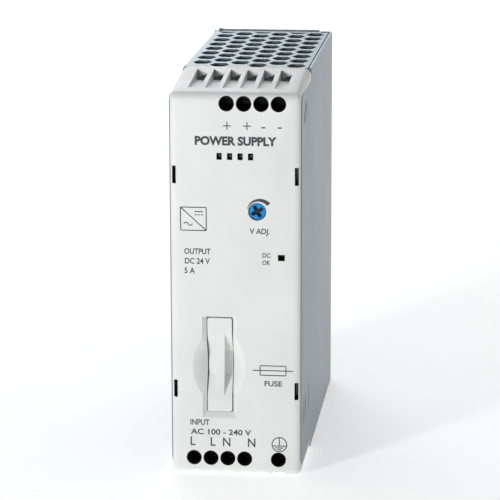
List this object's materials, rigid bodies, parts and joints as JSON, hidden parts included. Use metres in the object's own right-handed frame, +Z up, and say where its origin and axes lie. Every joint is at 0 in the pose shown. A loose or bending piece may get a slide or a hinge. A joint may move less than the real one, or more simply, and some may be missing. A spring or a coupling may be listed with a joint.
{
  "type": "din rail power supply",
  "caption": "Slim DIN rail power supply: folded sheet-metal case with honeycomb vents, moulded front, screw terminals top and bottom, fuse drawer, voltage trimmer and a sprung rail clip.",
  "frame": {"origin": "centre of the bounding box at the bottom: the base rests on z = 0, and the front face is at y = -57.5 mm", "axes": "+X to the right when facing the front, +Y from the front to the rail clip at the back, +Z up towards the output terminals"},
  "size_m": [0.04, 0.115, 0.1215],
  "materials": {
    "front_moulding": "fine moulded satin, very light grey",
    "drawer_moulding": "fine moulded satin, very light grey",
    "case_sheet": "satin blue-grey finish on folded sheet",
    "clip_plastic": "moulded dark grey",
    "spring_steel": "drawn wire",
    "fuse_glass": "clear",
    "fuse_metal": "nickel plated",
    "socket_plastic": "moulded black",
    "contact_brass": "spring brass",
    "terminal_plastic": "moulded dark grey",
    "circuit_board": "green solder mask",
    "trimmer_case": "moulded grey",
    "trimmer_blue": "smooth blue",
    "pin_header": "moulded black with tinned pins",
    "led_lens": "tinted lens, unlit",
    "aluminium": "extruded",
    "copper_winding": "enamelled copper wire",
    "capacitor_case": "yellow box",
    "black_epoxy": "moulded epoxy",
    "capacitor_sleeve": "shrink sleeve",
    "ferrite": "sintered ferrite",
    "winding_tape": "polyester tape",
    "screw_zinc": "zinc plated",
    "cage_zinc": "zinc plated"
  },
  "bodies": {
    "root": {"front_cover": "front_moulding", "housing_tray": "case_sheet", "housing_lid": "case_sheet", "lid_screw_lower": "screw_zinc", "lid_screw_upper": "screw_zinc", "bracket_screw_left": "screw_zinc", "bracket_screw_right": "screw_zinc", "din_bracket": "clip_plastic", "din_spring": "spring_steel", "fuse_socket": "socket_plastic", "fuse_contact_upper": "contact_brass", "fuse_contact_lower": "contact_brass", "output_terminal_block": "terminal_plastic", "input_terminal_block": "terminal_plastic", "indicator_board": "circuit_board", "trimmer_body": "trimmer_case", "pin_header": "pin_header", "status_led": "led_lens", "main_board": "circuit_board", "board_spacer_front": "aluminium", "board_spacer_rear": "aluminium", "board_screw_front": "screw_zinc", "board_screw_rear": "screw_zinc", "common_mode_choke": "copper_winding", "mains_filter_capacitor": "capacitor_case", "bridge_rectifier": "black_epoxy", "bulk_capacitor": "capacitor_sleeve", "heatsink": "aluminium", "transformer_core": "ferrite", "transformer_winding": "winding_tape", "power_transistor": "black_epoxy", "output_rectifier": "black_epoxy", "output_capacitor_1": "capacitor_sleeve", "output_capacitor_2": "capacitor_sleeve", "output_choke": "copper_winding"},
    "fuse_drawer": {"fuse_drawer": "drawer_moulding", "fuse_glass": "fuse_glass", "fuse_element": "fuse_metal", "fuse_cap_upper": "fuse_metal", "fuse_cap_lower": "fuse_metal"},
    "trimmer_rotor": {"trimmer_rotor": "trimmer_blue"},
    "din_slider": {"din_slider": "clip_plastic"},
    "output_screw_1": {"output_screw_1": "screw_zinc"},
    "output_cage_1": {"output_cage_1": "cage_zinc"},
    "output_screw_2": {"output_screw_2": "screw_zinc"},
    "output_cage_2": {"output_cage_2": "cage_zinc"},
    "output_screw_3": {"output_screw_3": "screw_zinc"},
    "output_cage_3": {"output_cage_3": "cage_zinc"},
    "output_screw_4": {"output_screw_4": "screw_zinc"},
    "output_cage_4": {"output_cage_4": "cage_zinc"},
    "input_screw_1": {"input_screw_1": "screw_zinc"},
    "input_cage_1": {"input_cage_1": "cage_zinc"},
    "input_screw_2": {"input_screw_2": "screw_zinc"},
    "input_cage_2": {"input_cage_2": "cage_zinc"},
    "input_screw_3": {"input_screw_3": "screw_zinc"},
    "input_cage_3": {"input_cage_3": "cage_zinc"},
    "input_screw_4": {"input_screw_4": "screw_zinc"},
    "input_cage_4": {"input_cage_4": "cage_zinc"},
    "input_screw_5": {"input_screw_5": "screw_zinc"},
    "input_cage_5": {"input_cage_5": "cage_zinc"}
  },
  "joints": [
    {"name": "fuse_drawer_slide", "type": "slide", "parent": "root", "child": "fuse_drawer", "axis": [0, -1, 0], "range_m": [0, 0.015]},
    {"name": "trimmer_turn", "type": "hinge", "parent": "root", "child": "trimmer_rotor", "pos_m": [0.0066, -0.057, 0.0827], "axis": [0, 1, 0], "range_deg": [-135, 135]},
    {"name": "din_slider_travel", "type": "slide", "parent": "root", "child": "din_slider", "axis": [0, 0, -1], "range_m": [0, 0.005], "stiffness_N_per_m": 2000, "springref_m": -0.003, "deforming": ["din_spring"]},
    {"name": "output_screw_1_turn", "type": "hinge", "parent": "root", "child": "output_screw_1", "pos_m": [-0.0026, -0.0489, 0.11535], "axis": [0, 1, 0], "range_deg": [0, 2161]},
    {"name": "output_cage_1_lift", "type": "slide", "parent": "root", "child": "output_cage_1", "axis": [0, -1, 0], "range_m": [0, 0.003]},
    {"name": "output_screw_2_turn", "type": "hinge", "parent": "root", "child": "output_screw_2", "pos_m": [0.0026, -0.0489, 0.11535], "axis": [0, 1, 0], "range_deg": [0, 2161]},
    {"name": "output_cage_2_lift", "type": "slide", "parent": "root", "child": "output_cage_2", "axis": [0, -1, 0], "range_m": [0, 0.003]},
    {"name": "output_screw_3_turn", "type": "hinge", "parent": "root", "child": "output_screw_3", "pos_m": [0.0078, -0.0489, 0.11535], "axis": [0, 1, 0], "range_deg": [0, 2161]},
    {"name": "output_cage_3_lift", "type": "slide", "parent": "root", "child": "output_cage_3", "axis": [0, -1, 0], "range_m": [0, 0.003]},
    {"name": "output_screw_4_turn", "type": "hinge", "parent": "root", "child": "output_screw_4", "pos_m": [0.013, -0.0489, 0.11535], "axis": [0, 1, 0], "range_deg": [0, 2161]},
    {"name": "output_cage_4_lift", "type": "slide", "parent": "root", "child": "output_cage_4", "axis": [0, -1, 0], "range_m": [0, 0.003]},
    {"name": "input_screw_1_turn", "type": "hinge", "parent": "root", "child": "input_screw_1", "pos_m": [-0.013, -0.0489, 0.00512], "axis": [0, 1, 0], "range_deg": [0, 2161]},
    {"name": "input_cage_1_lift", "type": "slide", "parent": "root", "child": "input_cage_1", "axis": [0, -1, 0], "range_m": [0, 0.003]},
    {"name": "input_screw_2_turn", "type": "hinge", "parent": "root", "child": "input_screw_2", "pos_m": [-0.0078, -0.0489, 0.00512], "axis": [0, 1, 0], "range_deg": [0, 2161]},
    {"name": "input_cage_2_lift", "type": "slide", "parent": "root", "child": "input_cage_2", "axis": [0, -1, 0], "range_m": [0, 0.003]},
    {"name": "input_screw_3_turn", "type": "hinge", "parent": "root", "child": "input_screw_3", "pos_m": [-0.0026, -0.0489, 0.00512], "axis": [0, 1, 0], "range_deg": [0, 2161]},
    {"name": "input_cage_3_lift", "type": "slide", "parent": "root", "child": "input_cage_3", "axis": [0, -1, 0], "range_m": [0, 0.003]},
    {"name": "input_screw_4_turn", "type": "hinge", "parent": "root", "child": "input_screw_4", "pos_m": [0.0026, -0.0489, 0.00512], "axis": [0, 1, 0], "range_deg": [0, 2161]},
    {"name": "input_cage_4_lift", "type": "slide", "parent": "root", "child": "input_cage_4", "axis": [0, -1, 0], "range_m": [0, 0.003]},
    {"name": "input_screw_5_turn", "type": "hinge", "parent": "root", "child": "input_screw_5", "pos_m": [0.013, -0.0489, 0.00512], "axis": [0, 1, 0], "range_deg": [0, 2161]},
    {"name": "input_cage_5_lift", "type": "slide", "parent": "root", "child": "input_cage_5", "axis": [0, -1, 0], "range_m": [0, 0.003]}
  ],
  "couplings": [
    {"joint": "output_screw_1_turn", "follows": "output_cage_1_lift", "rad_per_m": 12566},
    {"joint": "output_screw_2_turn", "follows": "output_cage_2_lift", "rad_per_m": 12566},
    {"joint": "output_screw_3_turn", "follows": "output_cage_3_lift", "rad_per_m": 12566},
    {"joint": "output_screw_4_turn", "follows": "output_cage_4_lift", "rad_per_m": 12566},
    {"joint": "input_screw_1_turn", "follows": "input_cage_1_lift", "rad_per_m": 12566},
    {"joint": "input_screw_2_turn", "follows": "input_cage_2_lift", "rad_per_m": 12566},
    {"joint": "input_screw_3_turn", "follows": "input_cage_3_lift", "rad_per_m": 12566},
    {"joint": "input_screw_4_turn", "follows": "input_cage_4_lift", "rad_per_m": 12566},
    {"joint": "input_screw_5_turn", "follows": "input_cage_5_lift", "rad_per_m": 12566}
  ]
}
